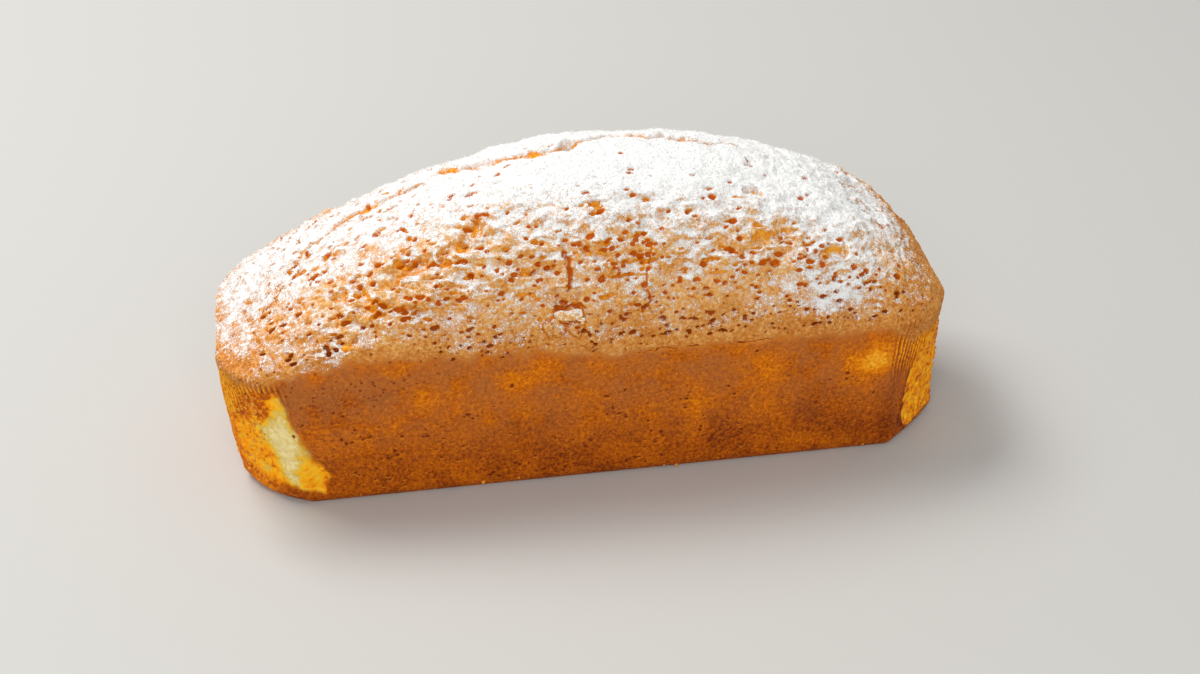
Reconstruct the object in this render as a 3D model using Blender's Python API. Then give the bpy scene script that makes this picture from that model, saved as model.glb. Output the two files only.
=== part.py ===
"""Vanilla loaf cake: a flared body, baked in a paper mould, under a high domed crust.

Units are metres and +Z is up. +X runs along the loaf and its front side faces -Y.
The origin is where the loaf stands, under the middle of its length and width.
The cake is one solid piece, uncut, so its crust, tears and flakes are relief on it.
"""
import math

import bmesh
import bpy
import numpy as np
from mathutils import Vector, noise

MM = 0.001

# Driving dimensions of the body, which narrows towards its base as the mould does.
RIM_REACH = {"left": 125.2 * MM, "right": 126.3 * MM}   # from under the top to each end
RIM_WIDTH = 87 * MM
BASE_REACH = {"left": 119.5 * MM, "right": 124.5 * MM}
BASE_WIDTH = 77.5 * MM
RIM_HEIGHT = 52 * MM
END_BULGE = 1.2 * MM        # how far the end walls swell halfway up
RIM_CORNER_RADIUS = {("left", "front"): 24 * MM, ("left", "back"): 32 * MM,
                     ("right", "front"): 28 * MM, ("right", "back"): 24 * MM}
BASE_CORNER_RADIUS = 20 * MM
CORNER_FLATNESS = {"left": 0.5, "right": 0.85}      # at the base: 0 is round, 1 is a bevel
FOOT_RADIUS = 4 * MM
FOOT_SPARE = 1 * MM         # extra depth under the base, which is cut off flat in the end

# The dome rises more steeply at its right end than at its left end.
DOME_HEIGHT = 54 * MM
SHOULDER_HEIGHT = 4 * MM    # how far the crust rounds up from the rim at the two ends
DOME_ALONG_POWER = {"left": (1.8, 1.1), "right": (2.45, 0.93)}
DOME_ACROSS_POWER = (2.25, 0.45)

# Rows of the fine grid that takes the relief, and the triangles left once it is thinned out.
ROWS_ALONG = 190
ROWS_ACROSS = 128
ROWS_UP = 40
CAKE_TRIANGLES = 9500

# Lumps of the crust: size of a lump, its height on the dome and its height on the wall.
LUMPS = ((22 * MM, 1.5 * MM, 0.5 * MM), (8 * MM, 0.8 * MM, 0.25 * MM))
WANDER = 1.6 * MM           # how far the edge of a tear or flake strays from its line
WANDER_SIZE = 5 * MM

# Where the crust split as it rose: width, depth and places, all in millimetres.
SPLITS = (
    (5.0, 3.0, [(-95, 4, 72), (-86, 5, 78), (-79, 8, 82), (-67, 8, 88), (-53, 9, 94)]),
    (6.0, 3.4, [(-45, 13, 96), (-38, 7, 100), (-26, 5, 103), (-12, 1, 106), (-2, 5, 107)]),
    (5.0, 3.0, [(-4, 5, 107), (4, 8, 106), (12, 12, 105), (22, 8, 106), (36, 7, 104)]),
    (4.5, 2.6, [(30, 8, 105), (43, 5, 103), (50, 6, 101), (58, 4, 99), (66, 2, 96)]),
)
SPLIT_LIP = 0.6             # share of a split's depth that the lip behind it stands up
SPLIT_LIP_BACK = 4.5 * MM

# Smaller tears and holes in the front of the dome: width, depth and places, in millimetres.
TEARS = (
    (4.0, 2.2, [(-70, -30, 79), (-64, -30, 81), (-57, -28, 85)]),
    (3.2, 1.8, [(-92, -1, 74), (-97, 3, 70)]),
    (3.0, 1.6, [(-87, -8, 77), (-82, -10, 80)]),
    (3.0, 1.6, [(-91, -15, 74), (-87, -15, 76)]),
    (3.2, 1.6, [(-85, -27, 74), (-82, -29, 75)]),
    (3.6, 1.8, [(-77, -30, 76), (-74, -33, 75)]),
    (3.0, 1.6, [(-82, -36, 70), (-78, -37, 70)]),
    (2.8, 1.5, [(-84, -40, 64), (-80, -40, 65)]),
    (3.0, 1.6, [(-71, -35, 75), (-67, -35, 75)]),
    (3.2, 1.8, [(-64, -38, 73), (-59, -39, 73)]),
    (2.8, 1.6, [(-50, -29, 87), (-43, -28, 90)]),
    (3.0, 1.8, [(-43, -27, 91), (-37, -26, 93)]),
    (2.6, 1.5, [(-50, -31, 85), (-45, -31, 86)]),
    (3.0, 1.7, [(-25, -36, 83), (-20, -36, 84), (-15, -37, 84)]),
    (4.4, 2.4, [(-3, -35, 88), (2, -36, 86)]),
    (3.4, 1.6, [(53, -33, 86), (59, -32, 86), (68, -30, 85)]),
    (4.2, 2.2, [(76, -34, 79), (80, -34, 78), (83, -33, 78)]),
    (4.0, 2.0, [(93, 3, 81), (97, 8, 78)]),
    (4.0, 2.0, [(54, -19, 97), (58, -19, 96)]),
    (2.2, 1.6, [(-10, -33, 91), (-9, -37, 84), (-10, -39, 78)]),
    (2.2, 1.4, [(18, -36, 87), (15, -40, 76), (12, -43, 65)]),
)

# Broad dents (positive) and a bulge (negative): radius, depth and place, in millimetres.
DENTS = ((6.0, 1.6, (-50, -40, 73)), (5.0, 1.4, (27, -38, 81)), (9.0, -1.4, (76, -43, 58)))

# Crust flakes on the front flank, as outlines along the loaf and up, in millimetres. The
# first came off and left a step; the others stand proud below it.
FLAKES = (
    (-2.0, [(-13, 79), (-13, 72), (-6, 72), (-6, 78)]),
    (1.5, [(-15, 70), (-14, 66), (-10, 65), (-6, 68), (-7, 71)]),
    (1.7, [(-19, 66), (-15, 68), (-12, 64), (-13, 61), (-17, 60)]),
    (1.5, [(-12, 62), (-9, 65), (-5, 63), (-7, 58)]),
)

# Where the mould pulled the crust off two corners, as outlines around the corner and up, in
# millimetres. "Around" grows from the front face towards the end face.
TORN_CORNERS = {
    "left": [(7, 47), (2, 29), (-2, 10), (6, 5), (28, 5), (40, 11), (28, 24), (21, 32), (13, 42)],
    "right": [(9, 40), (8, 8), (12, 2), (30, 3), (34, 22), (26, 42)],
}
TORN_DEPTH = {"left": 1.6 * MM, "right": 1.2 * MM}
TORN_ROUGHNESS = 0.9 * MM

CRUST_BROWN = (0.42, 0.17, 0.045, 1.0)
CRUST_ROUGHNESS = 0.75


# ---- the loaf's smooth form ----

def corner_arc(u, v, flatness):
    """Turn a point of the unit square into one of a quarter disc with a bevelled rim."""
    x = u * math.sqrt(1 - v * v / 2)
    y = v * math.sqrt(1 - u * u / 2)
    reach = math.hypot(x, y)
    if reach == 0:
        return x, y
    chord = reach / (x + y)
    scale = 1 + flatness * reach * (chord - 1)
    return x * scale, y * scale


def outline_point(u, v, up, inset=0):
    """Place a point of the square -1..1 in the loaf's plan; up is 0 at the base, 1 at the rim."""
    end = "left" if u < 0 else "right"
    side = "front" if v < 0 else "back"
    half_length = BASE_REACH[end] + (RIM_REACH[end] - BASE_REACH[end]) * up - inset
    half_width = (BASE_WIDTH + (RIM_WIDTH - BASE_WIDTH) * up) / 2 - inset
    radius = BASE_CORNER_RADIUS + (RIM_CORNER_RADIUS[end, side] - BASE_CORNER_RADIUS) * up
    flatness = CORNER_FLATNESS[end] * (1 - up ** 4)
    x = abs(u) * half_length
    y = abs(v) * half_width
    over_x = x - (half_length - radius)
    over_y = y - (half_width - radius)
    if over_x > 0 and over_y > 0:
        x, y = corner_arc(over_x / radius, over_y / radius, flatness)
        x = half_length - radius + x * radius
        y = half_width - radius + y * radius
    x += END_BULGE * 4 * up * (1 - up) * abs(u) ** 6
    return math.copysign(x, u), math.copysign(y, v)


def body_point(u, v, share_up):
    """Place a point of the wall or the base; share_up runs from 0 at the bottom to 1."""
    z = share_up * (RIM_HEIGHT + FOOT_SPARE) - FOOT_SPARE
    inset = 0
    if z < FOOT_RADIUS:
        drop = min(1, (FOOT_RADIUS - z) / (FOOT_RADIUS + FOOT_SPARE))
        inset = FOOT_RADIUS * (1 - math.sqrt(1 - drop ** 2))
    x, y = outline_point(u, v, max(0, z / RIM_HEIGHT), inset)
    return Vector((x, y, z))


def dome_point(u, v):
    """Place a point of the dome; u and v run over the square -1..1."""
    end = "left" if u < 0 else "right"
    half_length = RIM_REACH[end]
    half_width = RIM_WIDTH / 2
    ridge = half_length - half_width
    past_ridge = max(0, abs(u) * half_length - ridge) / half_width
    ring = min(1, max(past_ridge, abs(v)))
    reach = 1 - (1 - ring) ** 2.2
    if past_ridge > 0:
        u_at_rim = (ridge + half_width * past_ridge / ring) / half_length
        x, y = outline_point(math.copysign(u_at_rim, u), v / ring, 1)
        x = ridge + (abs(x) - ridge) * reach
        y = abs(y) * reach
    else:
        x = abs(u) * half_length
        y = half_width * reach
    flat_power, drop_power = DOME_ALONG_POWER[end]
    round_power, shoulder_power = DOME_ACROSS_POWER
    along = max(0, 1 - (x / half_length) ** flat_power) ** drop_power
    across = max(0, 1 - reach ** round_power) ** shoulder_power
    z = RIM_HEIGHT + (SHOULDER_HEIGHT + (DOME_HEIGHT - SHOULDER_HEIGHT) * along) * across
    return Vector((math.copysign(x, u), math.copysign(y, v), z))


# ---- relief, worked out for all points at once ----

def smooth_step(low, high, values):
    share = np.clip((values - low) / (high - low), 0, 1)
    return share * share * (3 - 2 * share)


def noise_at(points, size, seed):
    """Smooth noise from -1 to 1 whose lumps are about one size across."""
    shift = Vector((seed * 17.3, seed * 5.1, seed * 9.7))
    return np.array([noise.noise(Vector(point) / size + shift) for point in points])


def distance_to_line(points, places):
    """Distance of each point from the line through the given places."""
    nearest = np.full(len(points), np.inf)
    for start, end in zip(places[:-1], places[1:]):
        along = end - start
        share = np.clip((points - start) @ along / (along @ along), 0, 1)
        gap = np.linalg.norm(points - start - share[:, None] * along, axis=1)
        nearest = np.minimum(nearest, gap)
    return nearest


def depth_inside(points, outline):
    """How far each flat point lies inside a closed outline; negative outside it."""
    closed = np.vstack([outline, outline[:1]])
    distance = distance_to_line(points, closed)
    inside = np.zeros(len(points), dtype=bool)
    for start, end in zip(closed[:-1], closed[1:]):
        crosses = (start[1] > points[:, 1]) != (end[1] > points[:, 1])
        rise = end[1] - start[1] if end[1] != start[1] else np.inf
        x_at = start[0] + (points[:, 1] - start[1]) * (end[0] - start[0]) / rise
        inside ^= crosses & (points[:, 0] < x_at)
    return np.where(inside, distance, -distance)


def around_corner(points, end):
    """Distance around a front corner of the wall, from the front face to the end face."""
    corner_x = -97 * MM if end == "left" else 101 * MM
    along = corner_x - points[:, 0] if end == "left" else points[:, 0] - corner_x
    return along + points[:, 1] + 41 * MM


def dome_relief(points):
    """Height of the splits, tears, dents and flakes over the smooth dome."""
    stray = np.stack([noise_at(points, WANDER_SIZE, seed) for seed in (1, 2, 3)], axis=1)
    loose = points + WANDER * stray
    ragged = 0.75 + 0.5 * stray[:, 0]
    height = np.zeros(len(points))
    for width, depth, places in SPLITS:
        line = np.array(places, dtype=float) * MM
        gap = distance_to_line(loose, line)
        height -= depth * MM * ragged * (1 - smooth_step(0.1 * width * MM, 0.6 * width * MM, gap))
        lip_gap = distance_to_line(loose, line + [0, SPLIT_LIP_BACK, 0])
        height += SPLIT_LIP * depth * MM * (1 - smooth_step(0, width * MM, lip_gap)) / 2
    for width, depth, places in TEARS:
        gap = distance_to_line(loose, np.array(places, dtype=float) * MM)
        height -= depth * MM * ragged * (1 - smooth_step(0.2 * width * MM, 0.6 * width * MM, gap))
    for radius, depth, place in DENTS:
        gap = np.linalg.norm(loose - np.array(place) * MM, axis=1)
        height -= depth * MM * (1 - smooth_step(0, radius * MM, gap))
    for lift, outline in FLAKES:
        inside = depth_inside(loose[:, [0, 2]], np.array(outline, dtype=float) * MM)
        on_front = points[:, 1] < -30 * MM
        height += np.where(on_front, lift * MM * smooth_step(-0.6 * MM, 0.6 * MM, inside), 0)
    return height


def torn_relief(points):
    """Depth of the patches where the crust came off with the mould, with their crumb."""
    crumb = noise_at(points, 3.5 * MM, 7)
    height = np.zeros(len(points))
    for end, outline in TORN_CORNERS.items():
        at_end = (points[:, 1] < 0) & (points[:, 0] * (-1 if end == "left" else 1) > 80 * MM)
        flat = np.stack([around_corner(points, end), points[:, 2]], axis=1)
        flat += WANDER * noise_at(points, WANDER_SIZE, 8)[:, None]
        inside = depth_inside(flat, np.array(outline, dtype=float) * MM)
        torn = smooth_step(-0.8 * MM, 1.2 * MM, inside)
        height -= np.where(at_end, torn * (TORN_DEPTH[end] + TORN_ROUGHNESS * crumb), 0)
    return height


# ---- the cake ----

def fine_block():
    """Return a cube from -1 to 1 whose faces are split into rows."""
    bm = bmesh.new()
    bmesh.ops.create_cube(bm, size=2)
    for axis, rows in ((0, ROWS_ALONG), (1, ROWS_ACROSS), (2, ROWS_UP)):
        edges = [edge for edge in bm.edges
                 if abs(edge.verts[0].co[axis] - edge.verts[1].co[axis]) > 0.5]
        bmesh.ops.subdivide_edges(bm, edges=edges, cuts=rows - 1, use_grid_fill=True)
    return bm


def raise_relief(bm):
    """Push every point of the dome and the wall along its normal by the relief there."""
    bm.normal_update()
    points = np.array([vert.co for vert in bm.verts])
    normals = np.array([vert.normal for vert in bm.verts])
    on_dome = smooth_step(RIM_HEIGHT - 4 * MM, RIM_HEIGHT + 10 * MM, points[:, 2])
    height = dome_relief(points) * (points[:, 2] > RIM_HEIGHT) + torn_relief(points)
    for seed, (size, on_top, on_wall) in enumerate(LUMPS, start=11):
        height += noise_at(points, size, seed) * (on_wall + (on_top - on_wall) * on_dome)
    height *= smooth_step(0, 5 * MM, points[:, 2])
    for vert, point in zip(bm.verts, points + normals * height[:, None]):
        vert.co = point


def make_fine_cake():
    """Return the cake at full detail, with spare depth under its base."""
    bm = fine_block()
    for vert in bm.verts:
        u, v, w = vert.co
        vert.co = dome_point(u, v) if w > 0.9999 else body_point(u, v, (w + 1) / 2)
    raise_relief(bm)
    bmesh.ops.triangulate(bm, faces=bm.faces)
    mesh = bpy.data.meshes.new("fine_cake")
    bm.to_mesh(mesh)
    bm.free()
    return mesh


def thin_out(mesh, triangles):
    """Collapse a mesh to a number of triangles, most of them left where the relief is."""
    fine = bpy.data.objects.new("fine_cake", mesh)
    bpy.context.scene.collection.objects.link(fine)
    decimate = fine.modifiers.new("thin_out", "DECIMATE")
    decimate.ratio = triangles / len(mesh.polygons)
    depsgraph = bpy.context.evaluated_depsgraph_get()
    thinned = bpy.data.meshes.new_from_object(fine.evaluated_get(depsgraph))
    bpy.data.objects.remove(fine)
    return thinned


def stand_flat(mesh):
    """Cut the spare depth off at the floor, close the base and centre the cake on it."""
    bm = bmesh.new()
    bm.from_mesh(mesh)
    everything = bm.verts[:] + bm.edges[:] + bm.faces[:]
    bmesh.ops.bisect_plane(bm, geom=everything, plane_co=(0, 0, 0), plane_no=(0, 0, 1),
                           clear_inner=True)
    rim = [edge for edge in bm.edges if edge.is_boundary]
    bmesh.ops.holes_fill(bm, edges=rim, sides=0)
    for axis in (0, 1):
        places = [vert.co[axis] for vert in bm.verts]
        middle = (min(places) + max(places)) / 2
        for vert in bm.verts:
            vert.co[axis] -= middle
    bmesh.ops.recalc_face_normals(bm, faces=bm.faces)
    bm.to_mesh(mesh)
    bm.free()


def crust_material():
    material = bpy.data.materials.new("golden_brown_crust")
    material.use_nodes = True
    shader = material.node_tree.nodes["Principled BSDF"]
    shader.inputs["Base Color"].default_value = CRUST_BROWN
    shader.inputs["Roughness"].default_value = CRUST_ROUGHNESS
    shader.inputs["Metallic"].default_value = 0
    return material


def main():
    for old in list(bpy.data.objects):
        bpy.data.objects.remove(old)
    collection = bpy.data.collections.new("vanilla_loaf_cake")
    bpy.context.scene.collection.children.link(collection)
    mesh = thin_out(make_fine_cake(), CAKE_TRIANGLES)
    stand_flat(mesh)
    mesh.name = "cake"
    mesh.materials.append(crust_material())
    mesh.shade_smooth()
    cake = bpy.data.objects.new("cake", mesh)
    collection.objects.link(cake)


main()
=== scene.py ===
import math

import bmesh
import bpy
import numpy as np
from mathutils import Matrix, Vector, kdtree, noise


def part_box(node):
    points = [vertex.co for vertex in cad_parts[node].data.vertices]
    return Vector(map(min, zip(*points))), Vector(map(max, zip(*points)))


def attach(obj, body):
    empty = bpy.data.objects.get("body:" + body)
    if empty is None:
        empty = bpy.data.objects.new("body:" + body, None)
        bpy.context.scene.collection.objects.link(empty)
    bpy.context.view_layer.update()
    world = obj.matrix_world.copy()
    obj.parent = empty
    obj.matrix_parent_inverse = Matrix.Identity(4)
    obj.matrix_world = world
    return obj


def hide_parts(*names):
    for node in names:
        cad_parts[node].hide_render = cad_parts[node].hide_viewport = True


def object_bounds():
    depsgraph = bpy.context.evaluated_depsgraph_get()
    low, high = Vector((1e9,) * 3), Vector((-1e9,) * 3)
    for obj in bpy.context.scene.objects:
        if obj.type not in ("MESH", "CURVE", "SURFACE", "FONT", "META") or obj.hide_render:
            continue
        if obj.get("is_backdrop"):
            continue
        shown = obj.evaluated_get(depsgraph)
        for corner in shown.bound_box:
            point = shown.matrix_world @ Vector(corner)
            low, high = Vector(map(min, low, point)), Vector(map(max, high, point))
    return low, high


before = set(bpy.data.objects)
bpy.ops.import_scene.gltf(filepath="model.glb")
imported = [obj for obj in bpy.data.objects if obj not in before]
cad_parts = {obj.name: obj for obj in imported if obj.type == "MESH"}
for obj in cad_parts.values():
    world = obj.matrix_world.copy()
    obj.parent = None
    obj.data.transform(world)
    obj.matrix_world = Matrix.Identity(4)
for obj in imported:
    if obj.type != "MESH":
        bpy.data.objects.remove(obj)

cad_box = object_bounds()

# ==== The loaf ====
# An uncut vanilla loaf cake: batter baked in a flared paper mould, where it rose over the
# rim into a high dome. It is one piece, made as a fine skin over the same form as the frame's
# solid, with every tear, hole and flake of its crust pushed into it.

MM = 0.001

# The body narrows from its rim to its base, and its corners there are bevelled.
low_corner, high_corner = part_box("cake")
HALF_LENGTH = (high_corner[0] - low_corner[0]) / 2
MIDDLE_SHIFT = -0.55 * MM           # the dome's top stands this far from the box's middle
RIM_REACH = {"left": HALF_LENGTH - 0.9 * MM, "right": HALF_LENGTH - 1.2 * MM}
BASE_REACH = {"left": RIM_REACH["left"] - 5.7 * MM, "right": RIM_REACH["right"] - 0.6 * MM}
CRUST_PROUD = 1 * MM
RIM_WIDTH = high_corner[1] - low_corner[1] - 2 * CRUST_PROUD
BASE_WIDTH = RIM_WIDTH - 9.5 * MM
RIM_HEIGHT = 52 * MM
END_BULGE = 1.2 * MM
RIM_CORNERS = {"front left": 24 * MM, "back left": 32 * MM,
               "front right": 28 * MM, "back right": 24 * MM}
BASE_CORNER = 20 * MM
CORNER_FLATNESS = {"left": 0.5, "right": 0.85}
FOOT_RADIUS = 4 * MM

# The dome, which rises more steeply at its right end.
DOME_HEIGHT = 54 * MM
SHOULDER_HEIGHT = 4 * MM
DOME_ALONG_LEFT = (1.8, 1.1)
DOME_ALONG_RIGHT = (2.45, 0.93)
DOME_ACROSS = (2.25, 0.45)
ROLL_ROUNDS = 60                    # rounds of smoothing, for a wall of 100 rings
ROLL_REACH = 0.2                    # how far from the rim, as a share of the wall
SIDE_ROLL = 0.25                    # strength along the sides, against 1 at the ends
END_STARTS = (95 * MM, 115 * MM)    # how far out the long sides turn into the ends

# Points of the skin: along each long side, along each end, up the wall and over the dome.
SKIN_ALONG, SKIN_END, SKIN_UP, SKIN_OVER = 560, 190, 90, 220
SKIN_TRIANGLES = 420000


def smooth_step(low, high, values):
    share = np.clip((values - low) / (high - low), 0, 1)
    return share * share * (3 - 2 * share)


def ramp(low, high, values):
    """The same soft step between limits given in millimetres."""
    return smooth_step(low * MM, high * MM, values)


def outline(u, v, up, inset):
    """Places points of the border of the square -1..1 on the loaf's outline at one height."""
    reach = np.where(u < 0, RIM_REACH["left"], RIM_REACH["right"])
    base_reach = np.where(u < 0, BASE_REACH["left"], BASE_REACH["right"])
    half_length = base_reach + (reach - base_reach) * up - inset
    half_width = (BASE_WIDTH + (RIM_WIDTH - BASE_WIDTH) * up) / 2 - inset
    left = np.where(v < 0, RIM_CORNERS["front left"], RIM_CORNERS["back left"])
    right = np.where(v < 0, RIM_CORNERS["front right"], RIM_CORNERS["back right"])
    radius = BASE_CORNER + (np.where(u < 0, left, right) - BASE_CORNER) * up
    flatness = np.where(u < 0, CORNER_FLATNESS["left"], CORNER_FLATNESS["right"]) * (1 - up ** 4)
    x, y = np.abs(u) * half_length, np.abs(v) * half_width
    a = np.clip((x - half_length + radius) / radius, 1e-9, 1)
    b = np.clip((y - half_width + radius) / radius, 1e-9, 1)
    in_corner = (a > 1e-8) & (b > 1e-8)
    arc_x, arc_y = a * np.sqrt(1 - b * b / 2), b * np.sqrt(1 - a * a / 2)
    round_reach = np.hypot(arc_x, arc_y)
    bevel = 1 + flatness * round_reach * (round_reach / (arc_x + arc_y) - 1)
    x = np.where(in_corner, half_length - radius + arc_x * bevel * radius, x)
    y = np.where(in_corner, half_width - radius + arc_y * bevel * radius, y)
    x += END_BULGE * 4 * up * (1 - up) * np.abs(u) ** 6
    return np.copysign(x, u), np.copysign(y, v)


def wall_rows(u, v):
    """Rings of points up the wall, from the foot to just under the rim."""
    rows = []
    for z in np.linspace(0, RIM_HEIGHT, SKIN_UP, endpoint=False):
        drop = np.clip((FOOT_RADIUS - z) / (FOOT_RADIUS + 1 * MM), 0, 1)
        x, y = outline(u, v, z / RIM_HEIGHT, FOOT_RADIUS * (1 - math.sqrt(1 - drop ** 2)))
        rows.append(np.stack([x, y, np.full(len(u), z)], axis=1))
    return rows


def dome_height(x, reach):
    """Height of the dome over the rim, where reach runs from 0 on the ridge to 1 at the rim."""
    share = np.clip(np.abs(x) / np.where(x < 0, RIM_REACH["left"], RIM_REACH["right"]), 0, 1)
    left = (1 - share ** DOME_ALONG_LEFT[0]) ** DOME_ALONG_LEFT[1]
    right = (1 - share ** DOME_ALONG_RIGHT[0]) ** DOME_ALONG_RIGHT[1]
    along = np.where(x < 0, left, right)
    across = (1 - reach ** DOME_ACROSS[0]) ** DOME_ACROSS[1]
    return (SHOULDER_HEIGHT + (DOME_HEIGHT - SHOULDER_HEIGHT) * along) * across


def dome_rows(u, v):
    """Rings of points over the dome, evenly spaced from the rim to its ridge line."""
    rim_x, rim_y = outline(u, v, 1, 0)
    ridge_x = np.clip(rim_x, RIM_WIDTH / 2 - RIM_REACH["left"], RIM_REACH["right"] - RIM_WIDTH / 2)
    trial = 1 - np.linspace(0, 1, 2000) ** 2.2
    section = np.stack([trial * RIM_WIDTH / 2, dome_height(np.zeros(len(trial)), trial)], axis=1)
    walked = np.append(0, np.cumsum(np.linalg.norm(np.diff(section, axis=0), axis=1)))
    rows = []
    for reach in np.interp(np.linspace(0, walked[-1], SKIN_OVER), walked, trial):
        x, y = ridge_x + (rim_x - ridge_x) * reach, rim_y * reach
        rows.append(np.stack([x, y, RIM_HEIGHT + dome_height(x, np.float64(reach))], axis=1))
    return rows


def roll_over_rim(rings):
    """Rolls the wall over into the dome, widely at the ends and tightly along the sides."""
    form = np.stack(rings)
    rounds = round(ROLL_ROUNDS * (SKIN_UP / 100) ** 2)
    at_end = np.interp(np.abs(form[SKIN_UP, :, 0]), END_STARTS, [SIDE_ROLL, 1])
    from_rim = np.arange(len(form))[:, None] - SKIN_UP
    share = 0.5 * at_end * np.exp(-(from_rim / (ROLL_REACH * SKIN_UP)) ** 2)
    for _ in range(rounds):
        bend = (form[:-2] + form[2:]) / 2 - form[1:-1]
        form[1:-1] += share[1:-1, :, None] * bend
    return list(form)


def loaf_skin():
    """A closed skin over the loaf's smooth form; returns its mesh."""
    along = np.linspace(-1, 1, SKIN_ALONG, endpoint=False)
    over = np.linspace(-1, 1, SKIN_END, endpoint=False)
    u = np.concatenate([along, np.ones(SKIN_END), -along, -np.ones(SKIN_END)])
    v = np.concatenate([-np.ones(SKIN_ALONG), over, np.ones(SKIN_ALONG), -over])
    rings = wall_rows(u, v) + dome_rows(u, v)
    ridge = rings.pop()
    rings = roll_over_rim(rings)
    columns = len(u)
    index = np.arange(len(rings) * columns).reshape(len(rings), columns)
    places, to_ridge = np.unique(ridge.round(7), axis=0, return_inverse=True)
    index = np.vstack([index, len(rings) * columns + to_ridge.reshape(1, -1)])
    beside = np.roll(index, -1, axis=1)
    quads = np.stack([index[:-1], beside[:-1], beside[1:], index[1:]], axis=2).reshape(-1, 4)
    pinched = quads[:, 2] == quads[:, 3]
    faces = quads[~pinched].tolist() + quads[pinched][:, :3].tolist() + [index[0][::-1].tolist()]
    mesh = bpy.data.meshes.new("loaf_cake")
    mesh.from_pydata(np.vstack(rings + [places]), [], faces)
    return mesh


def read(items, name):
    """One three-part value of each point."""
    values = np.empty(len(items) * 3)
    items.foreach_get(name, values)
    return values.reshape(-1, 3)


def store(mesh, name, values):
    """Keeps one value per point, for the material."""
    mesh.attributes.new(name, "FLOAT", "POINT").data.foreach_set("value", values.astype(np.float32))


# -- relief: how batter sets, splits and tears --

LATTICE_SIZE = 48
LATTICE = np.random.default_rng(3).uniform(-1, 1, (LATTICE_SIZE, LATTICE_SIZE, LATTICE_SIZE))


def lumps(points, size, seed):
    """Smooth noise from -1 to 1 with lumps of the given size, or sizes along x, y and z."""
    spot = points / size + np.array([seed * 7.31, seed * 3.17, seed * 5.73])
    cell = np.floor(spot).astype(int)
    part = spot - cell
    part = part * part * (3 - 2 * part)
    total = np.zeros(len(points))
    for corner in np.ndindex(2, 2, 2):
        x, y, z = ((cell + corner) % LATTICE_SIZE).T
        weight = np.prod(np.where(corner, part, 1 - part), axis=1)
        total += LATTICE[x, y, z] * weight
    return total


def noise_at(points, size, seed):
    """Blender's own smooth noise, which the frame's solid takes its lumps from as well."""
    shift = Vector((seed * 17.3, seed * 5.1, seed * 9.7))
    return np.array([noise.noise(Vector(point) / size + shift) for point in points])


def line_gap(points, places):
    """Distance of each point from a line through places given in millimetres."""
    places = np.array(places, dtype=float) * MM
    nearest = np.full(len(points), np.inf)
    for start, end in zip(places[:-1], places[1:]):
        way = end - start
        share = np.clip((points - start) @ way / (way @ way), 0, 1)
        gap = np.linalg.norm(points - start - share[:, None] * way, axis=1)
        nearest = np.minimum(nearest, gap)
    return nearest


FRONT_FLANK = -22                   # y of lines on the front flank, at most


def crust_gap(points, places):
    """Distance along the crust from a line on it, seen from the front low down, else from above."""
    if np.mean(places, axis=0)[1] < FRONT_FLANK:
        gap = line_gap(points[:, [0, 2]], np.array(places)[:, [0, 2]])
        return np.where(points[:, 1] < 0, gap, 1)
    gap = line_gap(points[:, :2], np.array(places)[:, :2])
    return np.where(points[:, 2] > RIM_HEIGHT, gap, 1)


def depth_inside(points, corners):
    """How far each flat point lies inside an outline given in millimetres."""
    closed = np.array(corners + corners[:1], dtype=float) * MM
    gap = line_gap(points, closed / MM)
    inside = np.zeros(len(points), dtype=bool)
    for start, end in zip(closed[:-1], closed[1:]):
        crosses = (start[1] > points[:, 1]) != (end[1] > points[:, 1])
        rise = end[1] - start[1] if end[1] != start[1] else np.inf
        x_at = start[0] + (points[:, 1] - start[1]) * (end[0] - start[0]) / rise
        inside ^= crosses & (points[:, 0] < x_at)
    return np.where(inside, gap, -gap)


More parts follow.
